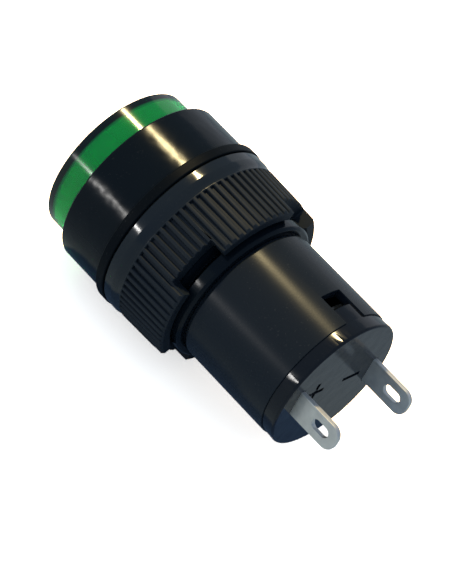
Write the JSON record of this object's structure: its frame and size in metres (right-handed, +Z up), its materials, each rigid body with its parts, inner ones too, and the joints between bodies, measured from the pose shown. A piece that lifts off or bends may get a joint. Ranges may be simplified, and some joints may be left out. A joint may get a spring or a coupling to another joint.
{
  "type": "panel pilot light",
  "caption": "Round panel pilot light: green lens, black bezel, ribbed ring nut on a threaded barrel, rear barrel with end cap and flat solder tabs.",
  "frame": {"origin": "on the lamp's axis, in the plane where the bezel's rear face seats on the panel", "axes": "+Y along the axis, out of the rear face with the tabs; the lens faces -Y; +X is towards the positive tab, +Z up"},
  "size_m": [0.0194, 0.0362, 0.0194],
  "materials": {
    "bezel_gloss": "glossy black moulded plastic",
    "nut_satin": "satin black moulded plastic",
    "barrel_satin": "semi-matte black moulded plastic",
    "cap_gloss": "glossy black moulded plastic",
    "black_rubber": "matte black rubber",
    "green_lens": "polished translucent green",
    "milky_diffuser": "milky translucent plastic",
    "white_reflector": "white moulded plastic",
    "circuit_board": "green coated circuit board",
    "clear_resin": "clear resin on a white base",
    "tinned_brass": "bright tinned surface",
    "resistor_body": "beige lacquer",
    "diode_body": "black epoxy",
    "capacitor_can": "sleeved can",
    "holder_white": "natural moulded plastic"
  },
  "bodies": {
    "lamp": {"bezel_housing": "bezel_gloss", "sealing_gasket": "black_rubber", "lens": "green_lens", "lens_seal": "black_rubber", "diffuser": "milky_diffuser", "reflector": "white_reflector", "led_board": "circuit_board", "led_1": "clear_resin", "led_2": "clear_resin", "led_3": "clear_resin", "led_4": "clear_resin", "link_pin_1": "tinned_brass", "link_pin_2": "tinned_brass", "driver_board": "circuit_board", "board_holder": "holder_white", "resistor_1": "resistor_body", "resistor_2": "resistor_body", "protection_diode": "diode_body", "capacitor": "capacitor_can", "rear_barrel": "barrel_satin", "end_cap": "cap_gloss", "terminal_positive": "tinned_brass", "terminal_negative": "tinned_brass"},
    "nut": {"ring_nut": "nut_satin"}
  },
  "joints": [
    {"name": "nut_travel", "type": "slide", "parent": "lamp", "child": "nut", "axis": [0, 1, 0], "range_m": [0, 0.006]}
  ]
}
